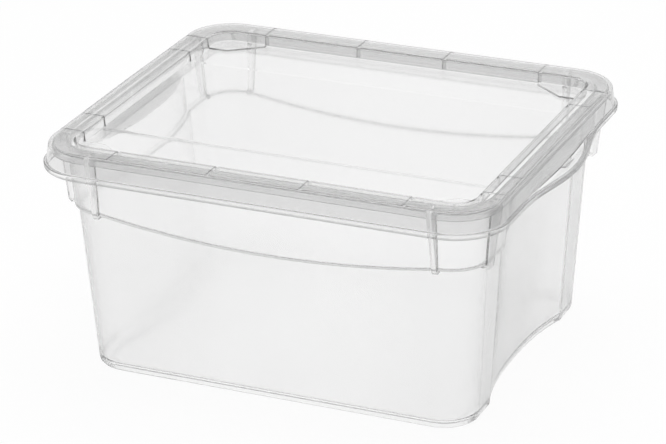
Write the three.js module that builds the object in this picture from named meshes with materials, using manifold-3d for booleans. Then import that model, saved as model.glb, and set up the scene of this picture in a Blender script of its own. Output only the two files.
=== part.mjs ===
// Translucent plastic storage box: one tub and one lift-off lid.
// Millimetres, +Z up, X along the length, origin on the ground under the middle of the tub.
import * as THREE from 'three';
import { mergeVertices } from 'three/addons/utils/BufferGeometryUtils.js';
import Module from 'manifold-3d';

const wasm = await Module();
wasm.setup();

// Lid sizes
const LID_LENGTH = 391; // over the bead, without the end lips
const LID_WIDTH = 332; // over the bead
const LID_TOP = 197; // top band above the ground
const LID_CORNER_RADIUS = 44; // bead in plan
const LID_THICKNESS = 1.8;
const RIM_INSET = 4.6; // top of the skirt inside the bead line
const BAND_WIDTH = 22; // skirt top to the edge of the recess
const BAND_EDGE_RADIUS = 4;
const RECESS_DEPTH = 9.5; // panel below the top band
const PANEL_STEP = 0.5; // middle of the panel above its front and back strips
const RECESS_DRAFT = 1; // recess wall leans in by this much on the way down
const SKIRT_HEIGHT = 20.8; // top band to the underside of the bead
const BEAD_HEIGHT = 4.8;
const BEAD_OUT = 2.2; // bead beyond the foot of the skirt
const LIP_OUT = 12; // end lip beyond the bead line
const LIP_FROM_CORNER = 32; // corner rounding to the start of the lip
const LIP_THICKNESS = 2; // skin of the lip, which is hollow underneath
const SKIRT_FLARE_SHARE = 0.25; // part of the lip's reach that the foot of the skirt follows
const GROOVE_WIDTH = 3;
const GROOVE_DEPTH = 0.7; // down the recess wall
const BAND_GROOVE_DEPTH = 0.3; // across the top band
const SIDE_GROOVE = 39; // inner grooves across the long bands, from the middle both ways
const SIDE_GROOVE_FROM_END = 71.5; // outer ones, from the bead line at each end
const END_GROOVE = 79; // inner grooves across the end bands, from the middle both ways
const END_GROOVE_FROM_SIDE = 52; // outer ones, from the bead line at each long side
const CORNER_PAD_HEIGHT = 1.5;
const CORNER_PAD_SIDE_STEP = 5; // short end of the pad, square to the recess side wall
const CORNER_PAD_END_STEP = 18; // its other end, square to the recess end wall
const GRIP_PAD = { length: 20, width: 4, height: 0.4 };

// Tub sizes
const END_FOOT_INSET = 30.8; // bead line to the foot of the end wall
const SIDE_FOOT_INSET = 31; // bead line to the foot of the long wall
const TUB_CORNER_RADIUS = 30;
const END_DRAFT = 0.064; // millimetres out per millimetre up
const SIDE_DRAFT = 0.044;
const WALL = 1.8;
const FLOOR_THICKNESS = 2.2;
const FLOOR_FILLET = 5;
const FOOT_EDGE = 5; // rounded bottom edge
const RECESS_FOOT_EDGE = 6; // larger rounding under the hollow ends
const STEP_OUT = 3; // upper wall stands this far outside the lower wall
const STEP_LEDGE_RISE = 0.8;
const UPPER_WALL = 55.4; // tub top down to the step line at the corners
const STEP_SAG = 12.2; // how far it dips at the middle of the long sides
const HOLLOW_DEPTH = 10.5; // end wall stands in by this much at the middle of its foot
const HOLLOW_STEP = 1; // part of that which is a step at the hollow's edge
const HOLLOW_FROM_CORNER = 21; // flat strip between the corner rounding and the hollow
const HOLLOW_EDGE = 2.5; // width of the crease beside the hollow
const HOLLOW_DEEPENING = 0.0145; // hollow deeper by this much per millimetre up
const HOLLOW_POWER = 2.5; // how flat the hollow is across its middle
const SHELF_DROP = 23.4; // tub top down to the inner edge of the finger shelf over the hollow
const SHELF_RISE = 8; // shelf's outer edge above its inner edge
const LID_SEAT_GAP = 0.3; // lid underside above the tub top
const RIM_CLEARANCE = 1; // tub rim inside the lid's skirt
const FLANGE_THICKNESS = 1.8;
const FLANGE_DROP = 6; // turned-down edge of the tub rim
const MOUTH_ROUND = 1;
const RIB_THICKNESS = 4;
const RIB_FOOT_DROP = 1.5; // foot of the rib below the step line
const RIB_FOOT_OUT = 7.5; // rib beyond the lower wall at its foot
const RIB_FOOT_ROUND = 2.5;
const SIDE_RIB_PAST_CORNER = 0; // rib beyond the start of the corner rounding, on the long sides
const END_RIB_PAST_CORNER = 8.5; // and on the ends

// Fineness of the faceted surfaces
const CORNER_STEPS = 7;
const SIDE_STEPS = 10;
const END_STEPS = 12;
const BAND_EDGE_STEPS = 3;

const TUB_TOP = LID_TOP - LID_THICKNESS - LID_SEAT_GAP;
const PANEL_TOP = LID_TOP - RECESS_DEPTH;
const BEAD_BOTTOM = LID_TOP - SKIRT_HEIGHT;
const RECESS_INSET = RIM_INSET + BAND_WIDTH;
const SIDE_GROOVES = [SIDE_GROOVE, LID_LENGTH / 2 - SIDE_GROOVE_FROM_END];
const END_GROOVES = [END_GROOVE, LID_WIDTH / 2 - END_GROOVE_FROM_SIDE];
const LIP_HALF_SPAN = LID_WIDTH / 2 - LID_CORNER_RADIUS - LIP_FROM_CORNER;
const FOOT_LENGTH = LID_LENGTH - 2 * END_FOOT_INSET;
const FOOT_WIDTH = LID_WIDTH - 2 * SIDE_FOOT_INSET;
const STEP_HEIGHT = TUB_TOP - UPPER_WALL;
const HOLLOW_HALF_SPAN = FOOT_WIDTH / 2 - TUB_CORNER_RADIUS - HOLLOW_FROM_CORNER - HOLLOW_EDGE;
const SHELF_HEIGHT = TUB_TOP - SHELF_DROP;
const FLANGE_INSET = RIM_INSET + LID_THICKNESS + RIM_CLEARANCE;
const FLANGE_ROUND = BAND_EDGE_RADIUS - LID_THICKNESS;

const CLEAR_PLASTIC = { color: 0xe6e8e8, roughness: 0.3, metalness: 0, transparent: true, opacity: 0.45 };

// Places round the outline, counter-clockwise, that every row of a shell shares.
function outlineStations(endMarks) {
  const stations = [];
  const corner = (sx, sy, startDegrees) => {
    for (let i = 0; i <= CORNER_STEPS; i += 1) {
      const angle = THREE.MathUtils.degToRad(startDegrees + (90 * i) / CORNER_STEPS);
      stations.push({ kind: 'corner', sx, sy, angle });
    }
  };
  const side = (sy) => {
    for (let i = 1; i < SIDE_STEPS; i += 1) {
      stations.push({ kind: 'side', sy, share: sy * (1 - (2 * i) / SIDE_STEPS) });
    }
  };
  const end = (sx) => {
    for (const y of endMarks) stations.push({ kind: 'end', sx, y: sx * y });
  };
  end(1);
  corner(1, 1, 0);
  side(1);
  corner(-1, 1, 90);
  end(-1);
  corner(-1, -1, 180);
  side(-1);
  corner(1, -1, 270);
  return stations;
}

// Even marks across an end, from minus to plus the half span.
function evenMarks(halfSpan) {
  return Array.from({ length: END_STEPS + 1 }, (_, i) => halfSpan * ((2 * i) / END_STEPS - 1));
}

// Point of a rounded rectangle at one station.
function outlinePoint(station, halfLength, halfWidth, radius) {
  if (station.kind === 'end') return [station.sx * halfLength, station.y];
  if (station.kind === 'side') return [station.share * (halfLength - radius), station.sy * halfWidth];
  return [
    station.sx * (halfLength - radius) + radius * Math.cos(station.angle),
    station.sy * (halfWidth - radius) + radius * Math.sin(station.angle),
  ];
}

// Closed body from rows of points; the first and last rows are filled flat.
function shellGeometry(rows) {
  const count = rows[0].length;
  const index = [];
  for (let r = 0; r + 1 < rows.length; r += 1) {
    for (let c = 0; c < count; c += 1) {
      const next = (c + 1) % count;
      const a = r * count + c;
      const b = r * count + next;
      index.push(a, b, b + count, a, b + count, a + count);
    }
  }
  const fill = (row, offset, flipped) => {
    const contour = row.map(([x, y]) => new THREE.Vector2(x, y));
    for (const [a, b, c] of THREE.ShapeUtils.triangulateShape(contour, [])) {
      if (flipped) index.push(offset + a, offset + c, offset + b);
      else index.push(offset + a, offset + b, offset + c);
    }
  };
  fill(rows[0], 0, true);
  fill(rows[rows.length - 1], (rows.length - 1) * count, false);
  const geometry = new THREE.BufferGeometry();
  geometry.setAttribute('position', new THREE.Float32BufferAttribute(rows.flat(2), 3));
  geometry.setIndex(index);
  return geometry;
}

// Upright prism over a plan outline given counter-clockwise.
function prismGeometry(plan, bottom, top) {
  return shellGeometry([plan.map(([x, y]) => [x, y, bottom]), plan.map(([x, y]) => [x, y, top])]);
}

function toManifold(geometry) {
  const bare = geometry.clone();
  bare.deleteAttribute('normal');
  bare.deleteAttribute('uv');
  const merged = mergeVertices(bare, 1e-5);
  return new wasm.Manifold(new wasm.Mesh({
    numProp: 3,
    vertProperties: new Float32Array(merged.attributes.position.array),
    triVerts: new Uint32Array(merged.index.array),
  }));
}

function toGeometry(manifold) {
  const mesh = manifold.getMesh();
  const geometry = new THREE.BufferGeometry();
  geometry.setAttribute('position', new THREE.BufferAttribute(mesh.vertProperties, 3));
  geometry.setIndex(new THREE.BufferAttribute(mesh.triVerts, 1));
  const faceted = geometry.toNonIndexed();
  faceted.computeVertexNormals();
  return faceted;
}

// Axis-aligned block between two corners.
function block([x0, y0, z0], [x1, y1, z1]) {
  const geometry = new THREE.BoxGeometry(Math.abs(x1 - x0), Math.abs(y1 - y0), Math.abs(z1 - z0));
  geometry.translate((x0 + x1) / 2, (y0 + y1) / 2, (z0 + z1) / 2);
  return toManifold(geometry);
}

// Tub: walls

const inHollow = ({ kind, y }) => kind === 'end' && Math.abs(y) < HOLLOW_HALF_SPAN + HOLLOW_EDGE / 2;

const sideWallAt = (z) => FOOT_WIDTH / 2 + SIDE_DRAFT * z;
const endWallAt = (z) => FOOT_LENGTH / 2 + END_DRAFT * z;

// How far the end wall is bowed in at height z.
function hollowDepth(station, z) {
  const share = Math.min(1, Math.abs(station.y) / HOLLOW_HALF_SPAN);
  const bow = HOLLOW_DEPTH - HOLLOW_STEP + HOLLOW_DEEPENING * z;
  return HOLLOW_STEP + bow * (1 - share ** HOLLOW_POWER);
}

// Point of the tub wall at height z, moved outward by a distance.
function wallPoint(station, z, out, hollow) {
  const [x, y] = outlinePoint(station, endWallAt(z) + out, sideWallAt(z) + out, TUB_CORNER_RADIUS + out);
  const bowed = hollow && inHollow(station);
  return [bowed ? x - station.sx * hollowDepth(station, z) : x, y, z];
}

// Height of the step line: it sags along the long sides and is level elsewhere.
function stepHeight(station) {
  if (station.kind !== 'side') return STEP_HEIGHT;
  return STEP_HEIGHT - STEP_SAG * (1 - station.share * station.share);
}

// Point of the tub rim, at a distance inside the rim's edge.
function rimPoint(station, inset, z) {
  const inside = FLANGE_INSET + inset;
  const radius = LID_CORNER_RADIUS - inside;
  return [...outlinePoint(station, LID_LENGTH / 2 - inside, LID_WIDTH / 2 - inside, radius), z];
}

function tubRows(stations) {
  const row = (pick) => stations.map(pick);
  const wallRow = (height, out) => row((s) => wallPoint(s, height(s), out, true));
  const upperRow = (height, out) => row((s) => wallPoint(s, height, out, false));
  const footEdge = (share) => row((s) => {
    const edge = inHollow(s) ? RECESS_FOOT_EDGE : FOOT_EDGE;
    const angle = (share * Math.PI) / 2;
    const z = FOOT_EDGE * (1 - Math.cos(angle));
    return wallPoint(s, z, -edge * (1 - Math.sin(angle)), true);
  });
  const fillet = (share) => {
    const angle = (share * Math.PI) / 2;
    const z = FLOOR_THICKNESS + FLOOR_FILLET * (1 - Math.sin(angle));
    return row((s) => wallPoint(s, z, -WALL - FLOOR_FILLET * (1 - Math.cos(angle)), true));
  };
  const flangeUnderside = TUB_TOP - FLANGE_THICKNESS;
  return [
    footEdge(0),
    footEdge(0.5),
    footEdge(1),
    wallRow(stepHeight, 0),
    wallRow((s) => stepHeight(s) + STEP_LEDGE_RISE, STEP_OUT),
    wallRow(() => SHELF_HEIGHT, STEP_OUT),
    upperRow(SHELF_HEIGHT + SHELF_RISE, STEP_OUT),
    upperRow(flangeUnderside, STEP_OUT),
    row((s) => rimPoint(s, FLANGE_THICKNESS, flangeUnderside)),
    row((s) => rimPoint(s, FLANGE_THICKNESS, TUB_TOP - FLANGE_DROP)),
    row((s) => rimPoint(s, 0, TUB_TOP - FLANGE_DROP)),
    row((s) => rimPoint(s, 0, TUB_TOP - FLANGE_ROUND)),
    row((s) => rimPoint(s, FLANGE_ROUND, TUB_TOP)),
    upperRow(TUB_TOP, STEP_OUT - WALL + MOUTH_ROUND),
    upperRow(TUB_TOP - MOUTH_ROUND, STEP_OUT - WALL),
    upperRow(SHELF_HEIGHT + SHELF_RISE + WALL, STEP_OUT - WALL),
    wallRow(() => SHELF_HEIGHT + WALL, STEP_OUT - WALL),
    wallRow((s) => stepHeight(s) + STEP_LEDGE_RISE + WALL, STEP_OUT - WALL),
    wallRow((s) => stepHeight(s) + WALL, -WALL),
    fillet(0),
    fillet(0.5),
    fillet(1),
  ];
}

// Tapered rib between a tub wall and the underside of the rim, drawn in an outward and upward plane.
// The next wall round the corner says where the rounding starts, which the rib's root follows inwards.
function ribProfile(wallAt, nextWallAt, rimEdge, along) {
  const rimBuried = FLANGE_THICKNESS / 2;
  const top = TUB_TOP - rimBuried;
  const outer = rimEdge - rimBuried;
  const foot = STEP_HEIGHT - RIB_FOOT_DROP;
  const root = (z, out) => {
    const past = Math.max(0, along + RIB_THICKNESS / 2 - nextWallAt(z) + TUB_CORNER_RADIUS);
    const radius = TUB_CORNER_RADIUS + out;
    const roundedIn = radius - Math.sqrt(radius ** 2 - past ** 2);
    return wallAt(z) + out - roundedIn - WALL / 4;
  };
  return [
    [root(foot, 0), foot],
    [wallAt(foot) + RIB_FOOT_OUT - RIB_FOOT_ROUND, foot],
    [wallAt(foot) + RIB_FOOT_OUT, foot + RIB_FOOT_ROUND],
    [outer, TUB_TOP - FLANGE_DROP + rimBuried],
    [outer, top],
    [root(top, STEP_OUT), top],
    [root(STEP_HEIGHT, STEP_OUT), STEP_HEIGHT + STEP_LEDGE_RISE + WALL],
    [root(STEP_HEIGHT, 0), STEP_HEIGHT + STEP_LEDGE_RISE],
  ];
}

// Solid rib: the profile stands across the wall and is RIB_THICKNESS wide along it.
function ribSolid(profile, along, alongX, sign) {
  const half = RIB_THICKNESS / 2;
  const face = (offset) => profile.map(([out, z]) => (
    alongX ? [along + offset, sign * out, z] : [sign * out, along + offset, z]));
  const points = [...face(-half), ...face(half)];
  const count = profile.length;
  const contour = profile.map(([out, z]) => new THREE.Vector2(out, z));
  const index = [];
  for (const [a, b, c] of THREE.ShapeUtils.triangulateShape(contour, [])) {
    index.push(a, b, c, count + a, count + c, count + b);
  }
  for (let i = 0; i < count; i += 1) {
    const next = (i + 1) % count;
    index.push(i, count + i, count + next, i, count + next, next);
  }
  const mirrored = (sign > 0) !== alongX;
  const wound = mirrored ? index : index.toReversed();
  const geometry = new THREE.BufferGeometry();
  geometry.setAttribute('position', new THREE.Float32BufferAttribute(points.flat(), 3));
  geometry.setIndex(wound);
  return toManifold(geometry);
}

function buildTub() {
  const crease = HOLLOW_HALF_SPAN + HOLLOW_EDGE;
  const stations = outlineStations([-crease, ...evenMarks(HOLLOW_HALF_SPAN), crease]);
  let tub = toManifold(shellGeometry(tubRows(stations)));
  const ribOnSide = endWallAt(STEP_HEIGHT) - TUB_CORNER_RADIUS + SIDE_RIB_PAST_CORNER;
  const ribOnEnd = sideWallAt(STEP_HEIGHT) - TUB_CORNER_RADIUS + END_RIB_PAST_CORNER;
  const sideRib = ribProfile(sideWallAt, endWallAt, LID_WIDTH / 2 - FLANGE_INSET, ribOnSide);
  const endRib = ribProfile(endWallAt, sideWallAt, LID_LENGTH / 2 - FLANGE_INSET, ribOnEnd);
  for (const sign of [1, -1]) {
    for (const hand of [1, -1]) {
      tub = tub.add(ribSolid(sideRib, hand * ribOnSide, true, sign));
      tub = tub.add(ribSolid(endRib, hand * ribOnEnd, false, sign));
    }
  }
  return toGeometry(tub);
}

// Lid: rim, bead, lips and recessed panel

// Outward reach of the end lip at one station.
function lipReach(station) {
  if (station.kind !== 'end' || Math.abs(station.y) >= LIP_HALF_SPAN) return 0;
  return LIP_OUT * Math.cos((Math.PI * station.y) / (2 * LIP_HALF_SPAN)) ** 2;
}

// Point of the lid at a distance inside the bead line; lipShare says how much of the lip it follows.
function lidPoint(station, inset, z, lipShare = 0) {
  const radius = LID_CORNER_RADIUS - inset;
  const [x, y] = outlinePoint(station, LID_LENGTH / 2 - inset, LID_WIDTH / 2 - inset, radius);
  const reach = lipShare * lipReach(station);
  return [x + (reach && station.sx * reach), y, z];
}

function lidRows(stations) {
  const row = (inset, z, lipShare) => stations.map((s) => lidPoint(s, inset, z, lipShare));
  const edgeRow = (share, radius) => {
    const angle = (share * Math.PI) / 2;
    const inset = RIM_INSET + BAND_EDGE_RADIUS - radius * Math.cos(angle);
    return row(inset, LID_TOP - BAND_EDGE_RADIUS + radius * Math.sin(angle));
  };
  const shares = Array.from({ length: BAND_EDGE_STEPS + 1 }, (_, i) => i / BAND_EDGE_STEPS);
  const innerRadius = BAND_EDGE_RADIUS - LID_THICKNESS;
  const beadTop = BEAD_BOTTOM + BEAD_HEIGHT;
  const beadRound = BEAD_HEIGHT / 5;
  return [
    row(RECESS_INSET + RECESS_DRAFT - LID_THICKNESS, PANEL_TOP - LID_THICKNESS),
    row(RECESS_INSET - LID_THICKNESS, LID_TOP - LID_THICKNESS),
    ...shares.toReversed().map((share) => edgeRow(share, innerRadius)),
    row(BEAD_OUT + LID_THICKNESS, beadTop, SKIRT_FLARE_SHARE),
    row(BEAD_OUT + LID_THICKNESS, beadTop - LIP_THICKNESS, 1),
    row(BEAD_OUT + LID_THICKNESS, BEAD_BOTTOM, 1),
    row(2 * beadRound, BEAD_BOTTOM, 1),
    row(beadRound / 2, BEAD_BOTTOM + beadRound, 1),
    row(0, BEAD_BOTTOM + BEAD_HEIGHT / 2, 1),
    row(beadRound / 2, beadTop - beadRound, 1),
    row(BEAD_OUT, beadTop, SKIRT_FLARE_SHARE),
    ...shares.map((share) => edgeRow(share, BAND_EDGE_RADIUS)),
    row(RECESS_INSET - GROOVE_DEPTH, LID_TOP),
    row(RECESS_INSET, LID_TOP - GROOVE_DEPTH),
    row(RECESS_INSET + RECESS_DRAFT, PANEL_TOP),
  ];
}

// Shallow groove across the top band and down the recess wall.
function grooveCuts(along, alongX, sign) {
  const half = GROOVE_WIDTH / 2;
  const edge = (alongX ? LID_WIDTH : LID_LENGTH) / 2;
  const cut = (outer, inner, bottom, top) => (alongX
    ? block([along - half, sign * (edge - outer), bottom], [along + half, sign * (edge - inner), top])
    : block([sign * (edge - outer), along - half, bottom], [sign * (edge - inner), along + half, top]));
  const above = LID_TOP + BAND_EDGE_RADIUS;
  const outerEnd = RIM_INSET + BAND_EDGE_RADIUS / 2;
  const bandCut = cut(outerEnd, RECESS_INSET + RECESS_DRAFT, LID_TOP - BAND_GROOVE_DEPTH, above);
  const wallStart = RECESS_INSET - GROOVE_DEPTH;
  const wallCut = cut(wallStart, RECESS_INSET + 2 * RECESS_DRAFT, PANEL_TOP + GROOVE_DEPTH, above);
  return bandCut.add(wallCut);
}

// Low pad in one corner of the recess; its two ends line up with the outermost grooves.
function cornerPad(sx, sy) {
  const inset = RECESS_INSET - LID_THICKNESS / 3;
  const halfLength = LID_LENGTH / 2 - inset;
  const halfWidth = LID_WIDTH / 2 - inset;
  const radius = LID_CORNER_RADIUS - inset;
  const foot = RECESS_INSET + RECESS_DRAFT;
  const onSide = Math.max(...SIDE_GROOVES);
  const onEnd = Math.max(...END_GROOVES);
  const plan = [
    [onSide, halfWidth],
    [onSide, LID_WIDTH / 2 - foot - CORNER_PAD_SIDE_STEP],
    [LID_LENGTH / 2 - foot - CORNER_PAD_END_STEP, onEnd],
    [halfLength, onEnd],
  ];
  for (let i = 0; i <= CORNER_STEPS; i += 1) {
    const angle = (Math.PI / 2) * (i / CORNER_STEPS);
    plan.push([
      halfLength - radius + radius * Math.cos(angle),
      halfWidth - radius + radius * Math.sin(angle),
    ]);
  }
  const placed = plan.map(([x, y]) => [sx * x, sy * y]);
  const ordered = sx * sy > 0 ? placed : placed.toReversed();
  return toManifold(prismGeometry(ordered, PANEL_TOP - LID_THICKNESS / 2, PANEL_TOP + CORNER_PAD_HEIGHT));
}

// Slightly raised middle of the panel, between the inner grooves of the two ends.
function panelMiddle() {
  const end = LID_LENGTH / 2 - RECESS_INSET - RECESS_DRAFT + LID_THICKNESS / 2;
  const side = Math.min(...END_GROOVES);
  return block([-end, -side, PANEL_TOP - LID_THICKNESS / 2], [end, side, PANEL_TOP + PANEL_STEP]);
}

// Small raised pad on the end lip, against the foot of the skirt.
function gripPad(sx) {
  const start = LID_LENGTH / 2 - BEAD_OUT + SKIRT_FLARE_SHARE * LIP_OUT - LID_THICKNESS / 2;
  const end = start + GRIP_PAD.width;
  const lipTop = BEAD_BOTTOM + BEAD_HEIGHT;
  const bottom = lipTop - LIP_THICKNESS / 2;
  const top = lipTop + GRIP_PAD.height;
  const half = GRIP_PAD.length / 2;
  return block([sx * start, -half, bottom], [sx * end, half, top]);
}

function buildLid() {
  let lid = toManifold(shellGeometry(lidRows(outlineStations(evenMarks(LIP_HALF_SPAN)))));
  lid = lid.add(panelMiddle());
  for (const sign of [1, -1]) {
    lid = lid.add(gripPad(sign));
    for (const hand of [1, -1]) {
      lid = lid.add(cornerPad(sign, hand));
      for (const along of SIDE_GROOVES) lid = lid.subtract(grooveCuts(hand * along, true, sign));
      for (const along of END_GROOVES) lid = lid.subtract(grooveCuts(hand * along, false, sign));
    }
  }
  return toGeometry(lid);
}

function namedMesh(name, geometry) {
  const mesh = new THREE.Mesh(geometry, new THREE.MeshStandardMaterial(CLEAR_PLASTIC));
  mesh.name = name;
  return mesh;
}

const box = new THREE.Group();
box.name = 'storage_box';
box.add(namedMesh('tub', buildTub()));
box.add(namedMesh('lid', buildLid()));

export default box;
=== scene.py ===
import math
from dataclasses import dataclass

import bpy
from mathutils import Matrix, Vector


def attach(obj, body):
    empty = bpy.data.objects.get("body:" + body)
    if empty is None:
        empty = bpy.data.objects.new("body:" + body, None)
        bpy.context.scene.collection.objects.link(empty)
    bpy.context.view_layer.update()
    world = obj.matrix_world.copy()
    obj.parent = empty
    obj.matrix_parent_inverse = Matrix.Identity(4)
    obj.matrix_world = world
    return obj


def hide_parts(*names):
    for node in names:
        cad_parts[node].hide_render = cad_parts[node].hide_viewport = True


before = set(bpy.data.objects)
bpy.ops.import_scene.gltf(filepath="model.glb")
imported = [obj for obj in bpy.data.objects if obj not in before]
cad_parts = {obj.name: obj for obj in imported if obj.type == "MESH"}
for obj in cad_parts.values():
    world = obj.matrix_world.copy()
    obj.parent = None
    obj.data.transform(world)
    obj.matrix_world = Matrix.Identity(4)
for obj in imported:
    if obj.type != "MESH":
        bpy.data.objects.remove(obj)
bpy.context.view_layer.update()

MM = 0.001

# Lid sizes
LID_LENGTH = 391  # over the bead, without the end lips
LID_WIDTH = 332  # over the bead
LID_TOP = 197
LID_CORNER_RADIUS = 44
LID_THICKNESS = 1.8
RIM_INSET = 4.6  # top of the skirt inside the bead line
BAND_WIDTH = 22
BAND_EDGE_RADIUS = 4
RECESS_DEPTH = 9.5
PANEL_STEP = 0.5  # middle of the panel above its front and back strips
PANEL_STEP_SLOPE = 10  # millimetres out per millimetre down
RECESS_DRAFT = 1
RECESS_EDGE_ROUND = 1.4
PANEL_FOOT_ROUND = 0.8  # panel into the recess wall
PANEL_UNDER_ROUND = 2  # the same bend on the underside
SKIRT_HEIGHT = 20.8
BEAD_HEIGHT = 4.8
BEAD_OUT = 2.2
BEAD_ROUND = 1.3
BEAD_INNER_ROUND = 0.4
LIP_OUT = 12
LIP_FROM_CORNER = 32
LIP_THICKNESS = 2
SKIRT_FLARE_SHARE = 0.25
GROOVE_WIDTH = 3
SIDE_GROOVE_DEPTH = 0.7  # down the long recess walls
SIDE_BAND_GROOVE_DEPTH = 0.6  # across the long bands
END_GROOVE_DEPTH = 0.3  # at the ends
SIDE_GROOVE = 39  # inner grooves across the long bands, from the middle both ways
SIDE_GROOVE_FROM_END = 71.5  # outer ones, from the bead line at each end
END_GROOVE = 79  # inner grooves across the end bands, from the middle both ways
END_GROOVE_FROM_SIDE = 52  # outer ones, from the bead line at each long side
CORNER_PAD_HEIGHT = 1.5
CORNER_PAD_SIDE_STEP = 5  # short end of the pad, square to the recess side wall
CORNER_PAD_END_STEP = 18  # its other end, square to the recess end wall
GRIP_PAD_LENGTH = 20
GRIP_PAD_WIDTH = 4
GRIP_PAD_HEIGHT = 0.4

# Tub sizes
END_FOOT_INSET = 30.8
SIDE_FOOT_INSET = 31
TUB_CORNER_RADIUS = 30
END_DRAFT = 0.064
SIDE_DRAFT = 0.044
WALL = 1.8
FLOOR_THICKNESS = 2.2
FOOT_RING_HEIGHT = 2.5  # floor stands this far above the ring that the tub rests on
FOOT_RING_WIDTH = 6
FLOOR_FILLET = 5
FOOT_EDGE = 5
STEP_OUT = 3
STEP_LEDGE_RISE = 0.8
STEP_ROUND = 0.7
UPPER_WALL = 55.4
STEP_SAG = 12.2
HOLLOW_DEPTH = 10.5
HOLLOW_STEP = 1
HOLLOW_FROM_CORNER = 21
HOLLOW_EDGE = 2.5
HOLLOW_DEEPENING = 0.0145  # hollow deeper by this much per millimetre up
HOLLOW_POWER = 2.5  # how flat the hollow is across its middle
SHELF_DROP = 23.4  # tub top down to the inner edge of the finger shelf
SHELF_RISE = 8  # shelf's outer edge above its inner edge
SHELF_ROUND = 1.5
LID_SEAT_GAP = 0.3
RIM_CLEARANCE = 1
FLANGE_THICKNESS = 1.8
FLANGE_DROP = 6
FLANGE_EDGE_ROUND = 0.4
MOUTH_ROUND = 1.6
RIB_THICKNESS = 4
RIB_FOOT_DROP = 1.5
RIB_FOOT_OUT = 7.5
RIB_FOOT_ROUND = 2.5
SIDE_RIB_PAST_CORNER = 0  # rib beyond the start of the corner rounding, on the long sides
END_RIB_PAST_CORNER = 8.5  # and on the ends

# Bends of both pieces that have no size of their own
SMALL_ROUND = 0.5

# Fineness of the meshes
CORNER_STEPS = 20
SIDE_STEPS = 40
END_STEPS = 44
ARC_STEPS = 4
FLAT_RING = 6  # flat strip inside the rounded edge of the panel and of the floor
ROUND_LIMIT = 0.45  # most of a straight stretch that the arc at its end takes up
ROUND_LEAST = 20  # an arc takes up at least its radius divided by this
SHARP_ANGLE = 32  # degrees between faces from which an edge stays sharp

# Sizes that follow from the others
TUB_TOP = LID_TOP - LID_THICKNESS - LID_SEAT_GAP
PANEL_TOP = LID_TOP - RECESS_DEPTH
BEAD_BOTTOM = LID_TOP - SKIRT_HEIGHT
BEAD_TOP = BEAD_BOTTOM + BEAD_HEIGHT
RECESS_INSET = RIM_INSET + BAND_WIDTH
SIDE_GROOVES = (SIDE_GROOVE, LID_LENGTH / 2 - SIDE_GROOVE_FROM_END)
END_GROOVES = (END_GROOVE, LID_WIDTH / 2 - END_GROOVE_FROM_SIDE)
LIP_HALF_SPAN = LID_WIDTH / 2 - LID_CORNER_RADIUS - LIP_FROM_CORNER
FOOT_LENGTH = LID_LENGTH - 2 * END_FOOT_INSET
FOOT_WIDTH = LID_WIDTH - 2 * SIDE_FOOT_INSET
STEP_HEIGHT = TUB_TOP - UPPER_WALL
HOLLOW_HALF_SPAN = FOOT_WIDTH / 2 - TUB_CORNER_RADIUS - HOLLOW_FROM_CORNER - HOLLOW_EDGE
SHELF_HEIGHT = TUB_TOP - SHELF_DROP
FLANGE_INSET = RIM_INSET + LID_THICKNESS + RIM_CLEARANCE
FLANGE_ROUND = BAND_EDGE_RADIUS - LID_THICKNESS

# Camera, from a fit to the photograph
IMAGE_WIDTH = 666
FOCAL_PIXELS = 3117.4
CAMERA_DISTANCE = 2546.6
CAMERA_AZIMUTH = 23.68
CAMERA_ELEVATION = 23.64
CAMERA_ROLL = -0.97
CENTRE_RIGHT_PIXELS = 4.46
CENTRE_DOWN_PIXELS = 0.59
CAMERA_TARGET = (0, 0, 98.5)
SENSOR_WIDTH = 36

# Studio
FLOOR_HALF_SIZE = 6000
FLOOR_DEPTH = 20
FLOOR_GAP = 0.3  # floor below the tub, so that their faces don't meet
FLOOR_GREY = 0.9
FLOOR_WHITE_SHARE = 0.95  # the rest of what is seen of the floor is lit, with the shadow
AMBIENT_STRENGTH = 0.6
LAMP_PLACE = (0, 0.3, 1.6)  # metres
LAMP_AIM = (0, 0, 0.1)
LAMP_SIZE = 1.2
LAMP_POWER = 14

# Plastic
PLASTIC_IOR = 1.49
CLEAR_SHARE = 0.99  # the rest scatters light back
LIGHT_BOUNCES = 32  # light crosses many surfaces in thin clear walls
TUB_WALL = 1.0  # this and the next ones are grey levels at each surface that light passes; apart from the plain wall, band and panel levels, they are painted shade
# painted shade: the tub's walls darker towards both ends
TUB_WALL_ENDS_SHADE = 0.972
# painted shade line along the step of the tub wall
TUB_STEP_SHADE_LINE = 0.5
# painted shade on the sloping finger shelves
TUB_SHELF_SHADE = 0.66
# painted shade on the ribs
TUB_RIB_SHADE = 0.88
LID_BAND = 1.0
LID_BAND_ENDS_SHADE = 0.93  # painted shade on the inner strips of the end bands, over the open tub
LID_GROOVE_SHADE = 0.6  # painted shade in the grooves down the long recess walls
LID_PANEL = 0.955
# painted shade on the upright recess wall
LID_RECESS_SHADE = 0.93
# painted shade on the upright skirt
LID_SKIRT_SHADE = 0.83
# deeper painted shade on the skirt at the ends
LID_END_SKIRT_SHADE = 0.7
# painted shade line along the foot of the bead
LID_EDGE_SHADE = 0.55
# painted shade on the end lips
LID_LIP_SHADE = 0.85
LID_LIP_EDGE_SHADE = 0.55  # painted shade on the rounded outer edge of the end lips
TUB_DENSITY = 1.5  # absorption per metre inside the plastic
LID_DENSITY = 16
HAZY_ROUGHNESS = 0.24  # outside of the tub's walls, its rim and the underside of the lid's band
TUB_ROUGHNESS = 0.08
LID_ROUGHNESS = 0.05
HAZE_UNEVENNESS = 0.08  # share by which the roughness varies
FLOW_SCALE = 14  # soft noise that makes the roughness uneven
FLOW_DETAIL = 3
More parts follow.
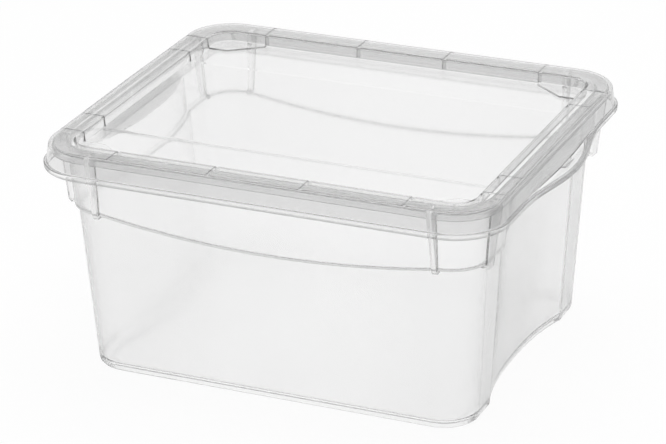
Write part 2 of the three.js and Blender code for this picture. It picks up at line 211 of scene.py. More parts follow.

# Where the greys and the painted shade of the plastic start and end
FADE = 1  # millimetres over which most greys fade
FLAT_FACING = 0.8  # upward or downward part of a face's direction: flat beyond this
UPRIGHT_FACING = 0.3  # and upright below this
DOWN_FADE = (-0.12, -0.5)  # upward part at which a face starts to look down, and does so fully
WALL_SHADE_SPAN = (30, 160)  # distances from the middle between which painted shade darkens the tub's walls
OUTER_SHADE_LINE = (0.6, 1.5)  # painted shade line above the step, on faces that look out
INNER_SHADE_LINE = (0.3, 0.7)  # and on faces that look in
STEP_SHADE_FADE = 0.3
RIB_CLEAR = 0.6  # distance outside the wall from which a rib takes painted shade
EDGE_SHADE_FADE = (1.5, 0.7)  # heights over the bead's foot where its painted shade line starts and is full
ABOVE_BEAD_SHADE_FADE = (-0.4, 0.6)  # heights over the bead's top where the upright faces' painted shade starts and is full
END_SKIRT_SHADE_FADE = (12, 6)  # distances inside the bead line where the end skirts' painted shade starts and is full
GROOVE_SHADE_REACH = 0.3  # painted shade to each side of the groove's own wall
GROOVE_SHADE_FADE = 0.2


# Outlines and shells

@dataclass
class Station:
    """A place on the outline: on an end, on a long side or on a corner rounding."""

    kind: str
    sx: int = 0
    sy: int = 0
    y: float = 0.0
    share: float = 0.0
    angle: float = 0.0


def outline_stations(end_marks):
    """Places round the outline, counter-clockwise, that every row of a shell shares."""

    def corner(sx, sy, start):
        steps = (start + 90 * i / CORNER_STEPS for i in range(CORNER_STEPS + 1))
        return [Station("corner", sx=sx, sy=sy, angle=math.radians(a)) for a in steps]

    def side(sy):
        shares = (1 - 2 * i / SIDE_STEPS for i in range(1, SIDE_STEPS))
        return [Station("side", sy=sy, share=sy * share) for share in shares]

    def end(sx):
        return [Station("end", sx=sx, y=sx * y) for y in end_marks]

    first = end(1) + corner(1, 1, 0) + side(1) + corner(-1, 1, 90)
    return first + end(-1) + corner(-1, -1, 180) + side(-1) + corner(1, -1, 270)


def even_marks(half_span):
    """Even marks across an end, from minus to plus the half span."""
    return [half_span * (2 * i / END_STEPS - 1) for i in range(END_STEPS + 1)]


def outline_point(station, half_length, half_width, radius):
    """Point of a rounded rectangle at one station."""
    if station.kind == "end":
        return station.sx * half_length, station.y
    if station.kind == "side":
        return station.share * (half_length - radius), station.sy * half_width
    x = station.sx * (half_length - radius) + radius * math.cos(station.angle)
    y = station.sy * (half_width - radius) + radius * math.sin(station.angle)
    return x, y


def rounded(corners):
    """A section line through (point, radius) corners, with an arc at each corner that has a radius."""
    line = [corners[0][0]]
    for (before, _), (here, radius), (after, _) in zip(corners, corners[1:], corners[2:]):
        if radius == 0:
            line.append(here)
            continue
        back, on = before - here, after - here
        half = back.angle(on) / 2
        limit = ROUND_LIMIT * min(back.length, on.length)
        reach = min(limit, max(radius / math.tan(half), radius / ROUND_LEAST))
        start, stop = here + back.normalized() * reach, here + on.normalized() * reach
        weight = math.sin(half)
        for i in range(ARC_STEPS + 1):
            t = i / ARC_STEPS
            a, b, c = (1 - t) ** 2, 2 * t * (1 - t) * weight, t * t
            line.append((start * a + here * b + stop * c) / (a + b + c))
    line.append(corners[-1][0])
    return line


def mesh_object(name, points, faces):
    """New object from points in millimetres."""
    mesh = bpy.data.meshes.new(name)
    mesh.from_pydata([tuple(Vector(p) * MM) for p in points], [], faces)
    mesh.update()
    made = bpy.data.objects.new(name, mesh)
    bpy.context.scene.collection.objects.link(made)
    return made


def shell_object(name, columns):
    """Closed body from one section line per station; the two ends of the lines are filled flat."""
    count, rows = len(columns), len(columns[0])
    points = [columns[c][r] for r in range(rows) for c in range(count)]
    faces = []
    for r in range(rows - 1):
        for c in range(count):
            a, b = r * count + c, r * count + (c + 1) % count
            faces.append((a, b, b + count, a + count))
    faces.append(tuple(reversed(range(count))))
    faces.append(tuple(range((rows - 1) * count, rows * count)))
    return mesh_object(name, points, faces)


def prism_object(name, outline, to_point, low, high):
    """Prism over a flat outline; to_point turns an outline point and a level into a 3-D point."""
    count = len(outline)
    points = [to_point(p, low) for p in outline] + [to_point(p, high) for p in outline]
    faces = [(i, (i + 1) % count, count + (i + 1) % count, count + i) for i in range(count)]
    faces.append(tuple(reversed(range(count))))
    faces.append(tuple(range(count, 2 * count)))
    made = mesh_object(name, points, faces)
    if volume(made) < 0:
        made.data.flip_normals()
    return made


def volume(obj):
    """Signed volume of a closed mesh: negative if its faces look inwards."""
    mesh = obj.data
    mesh.calc_loop_triangles()
    total = 0.0
    for triangle in mesh.loop_triangles:
        a, b, c = (mesh.vertices[i].co for i in triangle.vertices)
        total += a.dot(b.cross(c)) / 6
    return total


def box_object(name, low, high):
    """Axis-aligned block between two corners."""
    outline = [(low[0], low[1]), (high[0], low[1]), (high[0], high[1]), (low[0], high[1])]
    return prism_object(name, outline, lambda p, z: (p[0], p[1], z), low[2], high[2])


def combine(target, tools, operation):
    """Joins tools to a body, or cuts them out of it, leaving one clean mesh."""
    for tool in tools:
        modifier = target.modifiers.new(operation.title(), "BOOLEAN")
        modifier.operation = operation
        modifier.solver = "EXACT"
        modifier.object = tool
    graph = bpy.context.evaluated_depsgraph_get()
    mesh = bpy.data.meshes.new_from_object(target.evaluated_get(graph))
    target.modifiers.clear()
    target.data = mesh
    mesh.name = target.name
    for tool in tools:
        bpy.data.objects.remove(tool)


# Tub

def in_hollow(station):
    """Says whether a station lies in the hollow of an end wall."""
    return station.kind == "end" and abs(station.y) < HOLLOW_HALF_SPAN + HOLLOW_EDGE / 2


def side_wall_at(z):
    """Distance of the long wall from the middle at height z."""
    return FOOT_WIDTH / 2 + SIDE_DRAFT * z


def end_wall_at(z):
    """Distance of the end wall from the middle at height z."""
    return FOOT_LENGTH / 2 + END_DRAFT * z


def wall_point(station, z, out, hollow):
    """Point of the tub wall at height z, moved outward by a distance; the hollow bows the end wall in."""
    x, y = outline_point(station, end_wall_at(z) + out, side_wall_at(z) + out, TUB_CORNER_RADIUS + out)
    if hollow:
        share = min(1.0, abs(station.y) / HOLLOW_HALF_SPAN)
        bow = HOLLOW_DEPTH - HOLLOW_STEP + HOLLOW_DEEPENING * z
        x -= station.sx * (HOLLOW_STEP + bow * (1 - share ** HOLLOW_POWER))
    return Vector((x, y, z))


def rim_point(station, inset, z):
    """Point of the tub rim at a distance inside the rim's edge."""
    inside = FLANGE_INSET + inset
    half_length, half_width = LID_LENGTH / 2 - inside, LID_WIDTH / 2 - inside
    return Vector((*outline_point(station, half_length, half_width, LID_CORNER_RADIUS - inside), z))


def tub_column(station):
    """Section of the tub at one station, from its underside over the rim to its floor."""
    hollow = in_hollow(station)
    sag = STEP_SAG * (1 - station.share ** 2) if station.kind == "side" else 0
    step = STEP_HEIGHT - sag
    under = TUB_TOP - FLANGE_THICKNESS
    drop = TUB_TOP - FLANGE_DROP
    floor = FOOT_RING_HEIGHT + FLOOR_THICKNESS
    ring = -FOOT_EDGE - FOOT_RING_WIDTH

    def wall(z, distance):
        return wall_point(station, z, distance, hollow)

    def upper(z, distance):
        return wall_point(station, z, distance, False)

    return rounded([
        (wall(FOOT_RING_HEIGHT, ring - FLAT_RING), 0),
        (wall(FOOT_RING_HEIGHT, ring), SMALL_ROUND),
        (wall(0, ring), SMALL_ROUND),
        (wall(0, 0), FOOT_EDGE),
        (wall(step, 0), STEP_ROUND),
        (wall(step + STEP_LEDGE_RISE, STEP_OUT), STEP_ROUND),
        (wall(SHELF_HEIGHT, STEP_OUT), SHELF_ROUND),
        (upper(SHELF_HEIGHT + SHELF_RISE, STEP_OUT), SHELF_ROUND),
        (upper(under, STEP_OUT), SHELF_ROUND),
        (rim_point(station, FLANGE_THICKNESS, under), FLANGE_EDGE_ROUND),
        (rim_point(station, FLANGE_THICKNESS, drop), FLANGE_EDGE_ROUND),
        (rim_point(station, 0, drop), FLANGE_EDGE_ROUND),
        (rim_point(station, 0, TUB_TOP), FLANGE_ROUND),
        (upper(TUB_TOP, STEP_OUT - WALL), MOUTH_ROUND),
        (upper(SHELF_HEIGHT + SHELF_RISE + WALL, STEP_OUT - WALL), SHELF_ROUND),
        (wall(SHELF_HEIGHT + WALL, STEP_OUT - WALL), SHELF_ROUND),
        (wall(step + STEP_LEDGE_RISE + WALL, STEP_OUT - WALL), STEP_ROUND),
        (wall(step + WALL, -WALL), STEP_ROUND),
        (wall(floor, -WALL), FLOOR_FILLET),
        (wall(floor, -WALL - FLOOR_FILLET - FLAT_RING), 0),
    ])


def rib_object(wall_at, next_wall_at, rim_edge, past_corner, along_x, hand, sign):
    """Tapered rib between a tub wall and the rim; its root follows the corner rounding inwards."""
    along = next_wall_at(STEP_HEIGHT) - TUB_CORNER_RADIUS + past_corner
    half = RIB_THICKNESS / 2
    top = TUB_TOP - FLANGE_THICKNESS / 2
    outer = rim_edge - FLANGE_THICKNESS / 2
    foot = STEP_HEIGHT - RIB_FOOT_DROP

    def root(z, out):
        past = max(0, along + half - next_wall_at(z) + TUB_CORNER_RADIUS)
        radius = TUB_CORNER_RADIUS + out
        return wall_at(z) + out - radius + math.sqrt(radius ** 2 - past ** 2) - WALL / 4

    profile = [
        (root(foot, 0), foot),
        (wall_at(foot) + RIB_FOOT_OUT - RIB_FOOT_ROUND, foot),
        (wall_at(foot) + RIB_FOOT_OUT, foot + RIB_FOOT_ROUND),
        (outer, TUB_TOP - FLANGE_DROP + FLANGE_THICKNESS / 2),
        (outer, top),
        (root(top, STEP_OUT), top),
        (root(STEP_HEIGHT, STEP_OUT), STEP_HEIGHT + STEP_LEDGE_RISE + WALL),
        (root(STEP_HEIGHT, 0), STEP_HEIGHT + STEP_LEDGE_RISE),
    ]

    def place(point, offset):
        out, z = point
        beside = hand * along + offset
        return (beside, sign * out, z) if along_x else (sign * out, beside, z)

    return prism_object("rib", profile, place, -half, half)


def make_tub():
    """Tub in one body: shell and ribs."""
    crease = HOLLOW_HALF_SPAN + HOLLOW_EDGE
    stations = outline_stations([-crease, *even_marks(HOLLOW_HALF_SPAN), crease])
    tub = shell_object("tub_shell", [tub_column(s) for s in stations])
    side_rib = (side_wall_at, end_wall_at, LID_WIDTH / 2 - FLANGE_INSET, SIDE_RIB_PAST_CORNER, True)
    end_rib = (end_wall_at, side_wall_at, LID_LENGTH / 2 - FLANGE_INSET, END_RIB_PAST_CORNER, False)
    ribs = []
    for sign in (1, -1):
        for hand in (1, -1):
            ribs.append(rib_object(*side_rib, hand, sign))
            ribs.append(rib_object(*end_rib, hand, sign))
    combine(tub, ribs, "UNION")
    return tub


# Lid

def lid_point(station, inset, z, lip_share=0.0):
    """Point of the lid at a distance inside the bead line; lip_share says how much of the lip it follows."""
    half_length, half_width = LID_LENGTH / 2 - inset, LID_WIDTH / 2 - inset
    x, y = outline_point(station, half_length, half_width, LID_CORNER_RADIUS - inset)
    if station.kind == "end":
        swing = min(1.0, abs(station.y) / LIP_HALF_SPAN)
        x += station.sx * lip_share * LIP_OUT * math.cos(math.pi / 2 * swing) ** 2
    return Vector((x, y, z))


def lid_column(station):
    """Section of the lid at one station, from the underside of its panel round the rim to its top."""

    def at(inset, z, lip_share=0.0):
        return lid_point(station, inset, z, lip_share)

    foot = RECESS_INSET + RECESS_DRAFT
    inner = BEAD_OUT + LID_THICKNESS
    under = LID_TOP - LID_THICKNESS
    return rounded([
        (at(foot + FLAT_RING, PANEL_TOP - LID_THICKNESS), 0),
        (at(foot - LID_THICKNESS, PANEL_TOP - LID_THICKNESS), PANEL_UNDER_ROUND),
        (at(RECESS_INSET - LID_THICKNESS, under), SMALL_ROUND),
        (at(RIM_INSET + LID_THICKNESS, under), BAND_EDGE_RADIUS - LID_THICKNESS),
        (at(inner, BEAD_TOP, SKIRT_FLARE_SHARE), SMALL_ROUND),
        (at(inner, BEAD_TOP - LIP_THICKNESS, 1), SMALL_ROUND),
        (at(inner, BEAD_BOTTOM, 1), BEAD_INNER_ROUND),
        (at(0, BEAD_BOTTOM, 1), BEAD_ROUND),
        (at(0, BEAD_TOP, 1), BEAD_ROUND),
        (at(BEAD_OUT, BEAD_TOP, SKIRT_FLARE_SHARE), SMALL_ROUND),
        (at(RIM_INSET, LID_TOP), BAND_EDGE_RADIUS),
        (at(RECESS_INSET, LID_TOP), RECESS_EDGE_ROUND),
        (at(foot, PANEL_TOP), PANEL_FOOT_ROUND),
        (at(foot + FLAT_RING, PANEL_TOP), 0),
    ])


def groove_objects(along, along_x, sign):
    """Shallow groove across the top band and down the recess wall."""
    half = GROOVE_WIDTH / 2
    edge = (LID_WIDTH if along_x else LID_LENGTH) / 2
    above = LID_TOP + BAND_EDGE_RADIUS

    def cut(outer, inner, bottom):
        across = sorted((sign * (edge - outer), sign * (edge - inner)))
        if along_x:
            return box_object("groove", (along - half, across[0], bottom), (along + half, across[1], above))
        return box_object("groove", (across[0], along - half, bottom), (across[1], along + half, above))

    band_depth = SIDE_BAND_GROOVE_DEPTH if along_x else END_GROOVE_DEPTH
    wall_depth = SIDE_GROOVE_DEPTH if along_x else END_GROOVE_DEPTH
    band = cut(RIM_INSET + BAND_EDGE_RADIUS / 2, RECESS_INSET + RECESS_DRAFT, LID_TOP - band_depth)
    wall = cut(RECESS_INSET - wall_depth, RECESS_INSET + 2 * RECESS_DRAFT, PANEL_TOP + SIDE_GROOVE_DEPTH)
    return [band, wall]


def corner_pad(sx, sy):
    """Low pad in one corner of the recess; its two ends line up with the outermost grooves."""
    inset = RECESS_INSET - LID_THICKNESS / 3
    half_length, half_width = LID_LENGTH / 2 - inset, LID_WIDTH / 2 - inset
    radius = LID_CORNER_RADIUS - inset
    foot = RECESS_INSET + RECESS_DRAFT
    on_side, on_end = max(SIDE_GROOVES), max(END_GROOVES)
    outline = [
        (on_side, half_width),
        (on_side, LID_WIDTH / 2 - foot - CORNER_PAD_SIDE_STEP),
        (LID_LENGTH / 2 - foot - CORNER_PAD_END_STEP, on_end),
        (half_length, on_end),
    ]
    for i in range(CORNER_STEPS + 1):
        angle = math.pi / 2 * i / CORNER_STEPS
        x, y = half_length - radius + radius * math.cos(angle), half_width - radius + radius * math.sin(angle)
        outline.append((x, y))
    bottom, top = PANEL_TOP - LID_THICKNESS / 2, PANEL_TOP + CORNER_PAD_HEIGHT
    return prism_object("pad", outline, lambda p, z: (sx * p[0], sy * p[1], z), bottom, top)


def panel_middle():
    """Slightly raised middle of the panel, between the inner grooves of the two ends."""
    end = LID_LENGTH / 2 - RECESS_INSET - RECESS_DRAFT + LID_THICKNESS / 2
    side = min(END_GROOVES)
    bottom, top = PANEL_TOP - LID_THICKNESS / 2, PANEL_TOP + PANEL_STEP
    foot = side + PANEL_STEP_SLOPE * (top - bottom)
    section = [(-foot, bottom), (foot, bottom), (side, top), (-side, top)]
    return prism_object("panel_middle", section, lambda p, x: (x, p[0], p[1]), -end, end)


def grip_pad(sx):
    """Small raised pad on the end lip, against the foot of the skirt."""
    start = LID_LENGTH / 2 - BEAD_OUT + SKIRT_FLARE_SHARE * LIP_OUT - LID_THICKNESS / 2
    near, far = sorted((sx * start, sx * (start + GRIP_PAD_WIDTH)))
    half = GRIP_PAD_LENGTH / 2
    bottom, top = BEAD_TOP - LIP_THICKNESS / 2, BEAD_TOP + GRIP_PAD_HEIGHT
    return box_object("grip", (near, -half, bottom), (far, half, top))


def make_lid():
    """Lid in one body: shell, raised places and grooves."""
    lid = shell_object("lid_shell", [lid_column(s) for s in outline_stations(even_marks(LIP_HALF_SPAN))])
    pads, grooves = [panel_middle()], []
    for sign in (1, -1):
        pads.append(grip_pad(sign))
        for hand in (1, -1):
            pads.append(corner_pad(sign, hand))
            for along in SIDE_GROOVES:
                grooves += groove_objects(hand * along, True, sign)
            for along in END_GROOVES:
                grooves += groove_objects(hand * along, False, sign)
    combine(lid, pads, "UNION")
    combine(lid, grooves, "DIFFERENCE")
    return lid


def smooth(obj):
    """Rounded faces shade smoothly, and edges sharper than the arcs' own steps stay sharp."""
    obj.data.shade_smooth()
    obj.data.set_sharp_from_angle(angle=math.radians(SHARP_ANGLE))
    weighted = obj.modifiers.new("Weighted", "WEIGHTED_NORMAL")
    weighted.keep_sharp = True


# Materials

def new_material(name):
    """Empty node material and its node tree."""
    material = bpy.data.materials.new(name)
    material.use_nodes = True
    material.node_tree.nodes.clear()
    return material, material.node_tree


def math_node(tree, operation, *values):
    """Result of a math node on sockets or numbers."""
    made = tree.nodes.new("ShaderNodeMath")
    made.operation = operation
    for place, value in zip(made.inputs, values):
        if isinstance(value, bpy.types.NodeSocket):
            tree.links.new(value, place)
        else:
            place.default_value = value
    return made.outputs["Value"]


def ramp(tree, value, start, stop, low=0.0, high=1.0):
    """Value carried smoothly from low at start to high at stop, and held beyond them."""
    made = tree.nodes.new("ShaderNodeMapRange")
    made.interpolation_type = "SMOOTHSTEP"
    made.inputs["From Min"].default_value = start
    made.inputs["From Max"].default_value = stop
    made.inputs["To Min"].default_value = low
    made.inputs["To Max"].default_value = high
    tree.links.new(value, made.inputs["Value"])
    return made.outputs["Result"]


def between(tree, value, low, high, soft):
    """1 between two values, fading to 0 beyond them."""
    rise = ramp(tree, value, low - soft, low)
    return math_node(tree, "MULTIPLY", rise, ramp(tree, value, high + soft, high))


def grey_mix(tree, share, first, second):
    """Grey that goes from first to second; each is a level or a colour socket."""
    made = tree.nodes.new("ShaderNodeMix")
    made.data_type = "RGBA"
    tree.links.new(share, made.inputs["Factor"])
    for place, value in ((made.inputs["A"], first), (made.inputs["B"], second)):
        if isinstance(value, bpy.types.NodeSocket):
            tree.links.new(value, place)
        else:
            place.default_value = (value, value, value, 1)
    return made.outputs["Result"]


@dataclass
class Surface:
    """Sockets that say where on a piece a point lies and which way it faces."""

    height: bpy.types.NodeSocket
    along: bpy.types.NodeSocket
    across: bpy.types.NodeSocket
    upright: bpy.types.NodeSocket
    outward: bpy.types.NodeSocket
    down: bpy.types.NodeSocket
    flow: bpy.types.NodeSocket


def face_sockets(tree):
    """Places and facings of a moulded surface: heights and lengths in millimetres, the rest from 0 to 1."""
    place = tree.nodes.new("ShaderNodeTexCoord")
    spot = tree.nodes.new("ShaderNodeSeparateXYZ")
    normal = tree.nodes.new("ShaderNodeSeparateXYZ")
    facing = tree.nodes.new("ShaderNodeVectorMath")
    flow = tree.nodes.new("ShaderNodeTexNoise")
    facing.operation = "DOT_PRODUCT"
    flow.inputs["Scale"].default_value = FLOW_SCALE
    flow.inputs["Detail"].default_value = FLOW_DETAIL
    tree.links.new(place.outputs["Object"], spot.inputs["Vector"])
    tree.links.new(place.outputs["Normal"], normal.inputs["Vector"])
    tree.links.new(place.outputs["Normal"], facing.inputs[0])
    tree.links.new(place.outputs["Object"], facing.inputs[1])
    tree.links.new(place.outputs["Object"], flow.inputs["Vector"])
    height = math_node(tree, "DIVIDE", spot.outputs["Z"], MM)
    along = math_node(tree, "DIVIDE", math_node(tree, "ABSOLUTE", spot.outputs["X"]), MM)
    across = math_node(tree, "DIVIDE", math_node(tree, "ABSOLUTE", spot.outputs["Y"]), MM)
    upright = ramp(tree, math_node(tree, "ABSOLUTE", normal.outputs["Z"]), FLAT_FACING, UPRIGHT_FACING)
    outward = math_node(tree, "GREATER_THAN", facing.outputs["Value"], 0.0)
    down = ramp(tree, normal.outputs["Z"], *DOWN_FADE)
    return Surface(height, along, across, upright, outward, down, flow.outputs["Fac"])


def clear_plastic(material, tree, colour, roughness, density):
    """Finishes a see-through polypropylene whose thick places look greyer."""
    shader = tree.nodes.new("ShaderNodeBsdfPrincipled")
    absorb = tree.nodes.new("ShaderNodeVolumeAbsorption")
    output = tree.nodes.new("ShaderNodeOutputMaterial")
    shader.inputs["Transmission Weight"].default_value = CLEAR_SHARE
    shader.inputs["IOR"].default_value = PLASTIC_IOR
    absorb.inputs["Color"].default_value = (0, 0, 0, 1)
    absorb.inputs["Density"].default_value = density
    tree.links.new(colour, shader.inputs["Base Color"])
    tree.links.new(roughness, shader.inputs["Roughness"])
    tree.links.new(shader.outputs["BSDF"], output.inputs["Surface"])
    tree.links.new(absorb.outputs["Volume"], output.inputs["Volume"])
    return material


def uneven_roughness(tree, face, hazy, smooth_level):
    """Roughness from a smooth level to hazy, slightly uneven as on a real moulding."""
    haze = ramp(tree, hazy, 0, 1, smooth_level, HAZY_ROUGHNESS)
    unevenness = ramp(tree, face.flow, 0, 1, 1 - HAZE_UNEVENNESS, 1 + HAZE_UNEVENNESS)
    return math_node(tree, "MULTIPLY", haze, unevenness)


def beyond_wall(tree, reach, height, wall_at):
    """1 where a point lies outside the plane of the upper wall, which leans out with height."""
    lean = math_node(tree, "MULTIPLY", height, wall_at(1) - wall_at(0))
    out = math_node(tree, "SUBTRACT", math_node(tree, "SUBTRACT", reach, lean), wall_at(0) + STEP_OUT)
    return ramp(tree, out, RIB_CLEAR, 2 * RIB_CLEAR)


def rib_shade_share(tree, face):
    """1 on the ribs, where shade is painted; they are the only things that stand out from the walls below the
    rim.
    """
    beyond_side = beyond_wall(tree, face.across, face.height, side_wall_at)
    beyond_end = beyond_wall(tree, face.along, face.height, end_wall_at)
    drop = TUB_TOP - FLANGE_DROP
    below_rim = ramp(tree, face.height, drop - FADE, drop - 2 * FADE)
    return math_node(tree, "MULTIPLY", below_rim, math_node(tree, "MAXIMUM", beyond_side, beyond_end))


def step_shade_line_share(tree, face):
    """1 along the painted shade line at the step, which dips towards the middle of the long sides."""
    share = math_node(tree, "DIVIDE", face.along, end_wall_at(STEP_HEIGHT) - TUB_CORNER_RADIUS)
    share = math_node(tree, "MINIMUM", share, 1.0)
    rise = math_node(tree, "MULTIPLY", math_node(tree, "POWER", share, 2.0), STEP_SAG)
    level = math_node(tree, "SUBTRACT", face.height, rise)
    lowest = STEP_HEIGHT - STEP_SAG

    def line(facing, limits):
        low, high = limits
        near_step = between(tree, level, lowest + low, lowest + high, STEP_SHADE_FADE)
        return math_node(tree, "MULTIPLY", facing, near_step)

    inward = math_node(tree, "SUBTRACT", 1.0, face.outward)
    lines = math_node(tree, "ADD", line(face.outward, OUTER_SHADE_LINE), line(inward, INNER_SHADE_LINE))
    return math_node(tree, "MULTIPLY", face.upright, lines)


def shelf_shade_share(tree, face):
    """1 on the sloping shelves over the hollows, where shade is painted."""
    top = SHELF_HEIGHT + SHELF_RISE + WALL
    flat = math_node(tree, "SUBTRACT", 1.0, face.upright)
    at_shelf = between(tree, face.height, SHELF_HEIGHT - FADE, top + FADE, FADE)
    return math_node(tree, "MULTIPLY", flat, at_shelf)


def lid_inset(tree, face):
    """Distance inside the bead's rounded outline, up to the radius of its corners."""
    past_length = math_node(tree, "SUBTRACT", face.along, LID_LENGTH / 2 - LID_CORNER_RADIUS)
    past_width = math_node(tree, "SUBTRACT", face.across, LID_WIDTH / 2 - LID_CORNER_RADIUS)
    along_square = math_node(tree, "POWER", math_node(tree, "MAXIMUM", past_length, 0.0), 2.0)
    across_square = math_node(tree, "POWER", math_node(tree, "MAXIMUM", past_width, 0.0), 2.0)
    reach = math_node(tree, "SQRT", math_node(tree, "ADD", along_square, across_square))
    return math_node(tree, "SUBTRACT", LID_CORNER_RADIUS, reach)


def tub_plastic():
    """Hazy outside and smooth inside; painted shade towards the ends, and on the shelves, step line and ribs.
    """
    material, tree = new_material("tub_plastic")
    face = face_sockets(tree)
    # painted shade, darker towards the ends
    colour = grey_mix(tree, ramp(tree, face.along, *WALL_SHADE_SPAN), TUB_WALL, TUB_WALL_ENDS_SHADE)
    # painted shade on the shelves
    colour = grey_mix(tree, shelf_shade_share(tree, face), colour, TUB_SHELF_SHADE)
    # painted shade line along the step
    colour = grey_mix(tree, step_shade_line_share(tree, face), colour, TUB_STEP_SHADE_LINE)
    # painted shade on the ribs
    colour = grey_mix(tree, rib_shade_share(tree, face), colour, TUB_RIB_SHADE)
    frosted = math_node(tree, "MULTIPLY", face.upright, face.outward)
    drop = TUB_TOP - FLANGE_DROP
    rim = ramp(tree, face.height, drop - 4 * FADE, drop - 2 * FADE)
    hazy = math_node(tree, "MAXIMUM", frosted, rim)
    roughness = uneven_roughness(tree, face, hazy, TUB_ROUGHNESS)
    return clear_plastic(material, tree, colour, roughness, TUB_DENSITY)


def lid_flat_grey_and_shade(tree, face, inset):
    """Grey of the lid's flat faces: the panel, and painted shade on the inner strips of the end bands over
    the open tub.
    """
    panel_end, panel_side = LID_LENGTH / 2 - RECESS_INSET, LID_WIDTH / 2 - RECESS_INSET
    tub_mouth = end_wall_at(TUB_TOP) + STEP_OUT - WALL
    # painted shade on the end bands' inner strips over the open tub
    strip = between(tree, face.along, panel_end, tub_mouth, FADE)
    beside_panel = ramp(tree, face.across, panel_side, panel_side - 5 * FADE)
    strip = math_node(tree, "MULTIPLY", strip, beside_panel)
    panel = ramp(tree, inset, RECESS_INSET + FADE, RECESS_INSET + 4 * FADE)
    return grey_mix(tree, panel, grey_mix(tree, strip, LID_BAND, LID_BAND_ENDS_SHADE), LID_PANEL)


def lid_upright_shade(tree, face, inset):
    """Painted shade of the lid's upright faces: the recess wall with its grooves, and the skirt."""
    # painted shade line in the grooves of the long recess walls
    groove_wall = LID_WIDTH / 2 - RECESS_INSET + SIDE_GROOVE_DEPTH
    low, high = groove_wall - GROOVE_SHADE_REACH, groove_wall + GROOVE_SHADE_REACH
    groove = between(tree, face.across, low, high, GROOVE_SHADE_FADE)
    recess_shade = grey_mix(tree, groove, LID_RECESS_SHADE, LID_GROOVE_SHADE)
    # deeper painted shade on the end skirts
    start, full = END_SKIRT_SHADE_FADE
    end_skirt = ramp(tree, face.along, LID_LENGTH / 2 - start, LID_LENGTH / 2 - full)
    skirt_shade = grey_mix(tree, end_skirt, LID_SKIRT_SHADE, LID_END_SKIRT_SHADE)
    skirt_inside = RIM_INSET + LID_THICKNESS
    skirt = ramp(tree, inset, skirt_inside + 2 * FADE, skirt_inside + FADE)
    return grey_mix(tree, skirt, recess_shade, skirt_shade)


def lid_plastic():
    """Clear and glossy, hazy under the band; painted shade on the upright faces, the bead's foot and the
    lips.
    """
    material, tree = new_material("lid_plastic")
    face = face_sockets(tree)
    inset = lid_inset(tree, face)
    start, full = ABOVE_BEAD_SHADE_FADE
    above_bead = ramp(tree, face.height, BEAD_TOP + start, BEAD_TOP + full)
    upright = math_node(tree, "MULTIPLY", face.upright, above_bead)
    # painted shade on the end lips and their rounded outer edge
    lip = ramp(tree, face.along, LID_LENGTH / 2 + FADE, LID_LENGTH / 2 + 3 * FADE)
    lip_edge_shade = math_node(tree, "MULTIPLY", math_node(tree, "MULTIPLY", face.upright, face.outward), lip)
    # painted shade line along the bead's foot
    start, full = EDGE_SHADE_FADE
    edge = ramp(tree, face.height, BEAD_BOTTOM + start, BEAD_BOTTOM + full)
    # painted shade on the upright faces
    colour = grey_mix(tree, upright, lid_flat_grey_and_shade(tree, face, inset), lid_upright_shade(tree, face, inset))
    colour = grey_mix(tree, lip, colour, LID_LIP_SHADE)
    colour = grey_mix(tree, edge, colour, LID_EDGE_SHADE)
    colour = grey_mix(tree, lip_edge_shade, colour, LID_LIP_EDGE_SHADE)
    under = LID_TOP - LID_THICKNESS
    under_band = ramp(tree, face.height, under - 2 * FADE, under - FADE)
    hazy = math_node(tree, "MULTIPLY", face.down, under_band)
    roughness = uneven_roughness(tree, face, hazy, LID_ROUGHNESS)
    return clear_plastic(material, tree, colour, roughness, LID_DENSITY)


# Studio and camera

def background_share(nodes, links):
    """Socket that is 1 for rays that see the background straight, in a mirror or through glass."""
    path = nodes.new("ShaderNodeLightPath")
    first = nodes.new("ShaderNodeMath")
    second = nodes.new("ShaderNodeMath")
    first.operation = second.operation = "MAXIMUM"
    links.new(path.outputs["Is Camera Ray"], first.inputs[0])
    links.new(path.outputs["Is Glossy Ray"], first.inputs[1])
    links.new(first.outputs[0], second.inputs[0])
    links.new(path.outputs["Is Transmission Ray"], second.inputs[1])
    return second.outputs[0]


def make_floor():
    """Large pale floor: white to the eye, with the object's soft shadow on it."""
    size = FLOOR_HALF_SIZE
    floor = box_object("floor", (-size, -size, -FLOOR_DEPTH), (size, size, -FLOOR_GAP))
    material, tree = new_material("floor_white")
    nodes, links = tree.nodes, tree.links
    output = nodes.new("ShaderNodeOutputMaterial")
    lit = nodes.new("ShaderNodeBsdfDiffuse")
    glow = nodes.new("ShaderNodeEmission")
    mix = nodes.new("ShaderNodeMixShader")
    share = nodes.new("ShaderNodeMath")
    lit.inputs["Color"].default_value = (FLOOR_GREY, FLOOR_GREY, FLOOR_GREY, 1)
    share.operation = "MULTIPLY"
    share.inputs[1].default_value = FLOOR_WHITE_SHARE
    links.new(background_share(nodes, links), share.inputs[0])
    links.new(share.outputs[0], mix.inputs["Fac"])
    links.new(lit.outputs["BSDF"], mix.inputs[1])
    links.new(glow.outputs["Emission"], mix.inputs[2])
    links.new(mix.outputs["Shader"], output.inputs["Surface"])
    material.cycles.emission_sampling = "NONE"
    floor.data.materials.append(material)


def make_world():
    """Even white studio: white where it is seen, and gentler where it lights the object."""
    world = bpy.data.worlds.new("studio")
    bpy.context.scene.world = world
    world.use_nodes = True
    nodes, links = world.node_tree.nodes, world.node_tree.links
    nodes.clear()
    output = nodes.new("ShaderNodeOutputWorld")
    seen = nodes.new("ShaderNodeBackground")
    ambient = nodes.new("ShaderNodeBackground")
    mix = nodes.new("ShaderNodeMixShader")
    seen.inputs["Color"].default_value = (1, 1, 1, 1)
    ambient.inputs["Color"].default_value = (1, 1, 1, 1)
    ambient.inputs["Strength"].default_value = AMBIENT_STRENGTH
    links.new(background_share(nodes, links), mix.inputs["Fac"])
    links.new(ambient.outputs["Background"], mix.inputs[1])
    links.new(seen.outputs["Background"], mix.inputs[2])
    links.new(mix.outputs["Shader"], output.inputs["Surface"])


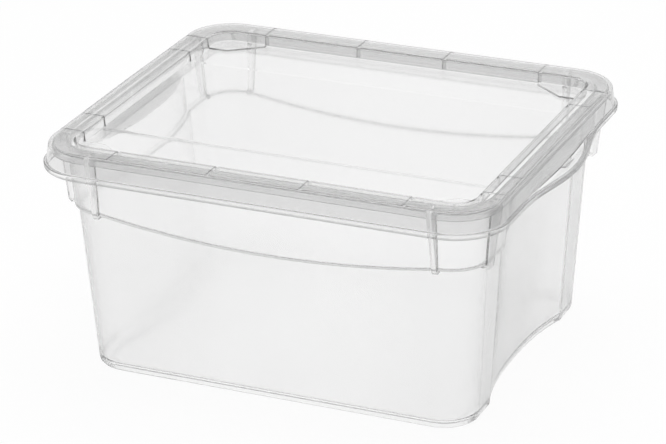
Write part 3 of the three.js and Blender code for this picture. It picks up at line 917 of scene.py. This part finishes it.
def make_lamp(name, place, aim, size, power):
    """Square soft light at a place, aimed at a point, in metres."""
    lamp = bpy.data.lights.new(name, "AREA")
    lamp.size = size
    lamp.energy = power
    made = bpy.data.objects.new(name, lamp)
    made.location = place
    made.rotation_euler = (Vector(aim) - Vector(place)).to_track_quat("-Z", "Y").to_euler()
    made.visible_glossy = made.visible_transmission = False
    bpy.context.scene.collection.objects.link(made)


def make_camera():
    """Camera at the photograph's viewing angle."""
    a, e, r = (math.radians(d) for d in (CAMERA_AZIMUTH, CAMERA_ELEVATION, CAMERA_ROLL))
    back = Vector((math.sin(a) * math.cos(e), -math.cos(a) * math.cos(e), math.sin(e)))
    level = Vector((math.cos(a), math.sin(a), 0))
    upright = back.cross(level)
    right = level * math.cos(r) + upright * math.sin(r)
    up = upright * math.cos(r) - level * math.sin(r)
    data = bpy.data.cameras.new("camera")
    data.sensor_width = SENSOR_WIDTH
    data.lens = FOCAL_PIXELS * SENSOR_WIDTH / IMAGE_WIDTH
    data.shift_x = -CENTRE_RIGHT_PIXELS / IMAGE_WIDTH
    data.shift_y = CENTRE_DOWN_PIXELS / IMAGE_WIDTH
    camera = bpy.data.objects.new("camera", data)
    turn = Matrix((right, up, back)).transposed().to_4x4()
    place = (Vector(CAMERA_TARGET) + back * CAMERA_DISTANCE) * MM
    camera.matrix_world = Matrix.Translation(place) @ turn
    bpy.context.scene.collection.objects.link(camera)
    bpy.context.scene.camera = camera


make_camera()
make_floor()
make_world()
make_lamp("top_light", LAMP_PLACE, LAMP_AIM, LAMP_SIZE, LAMP_POWER)

tub = make_tub()
smooth(tub)
tub.data.materials.clear()
tub.data.materials.append(tub_plastic())
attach(tub, "tub")
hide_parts("tub")

lid = make_lid()
smooth(lid)
lid.data.materials.clear()
lid.data.materials.append(lid_plastic())
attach(lid, "lid")
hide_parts("lid")

cycles = bpy.context.scene.cycles
cycles.max_bounces = cycles.glossy_bounces = cycles.transmission_bounces = LIGHT_BOUNCES
bpy.context.scene.view_settings.view_transform = "Standard"
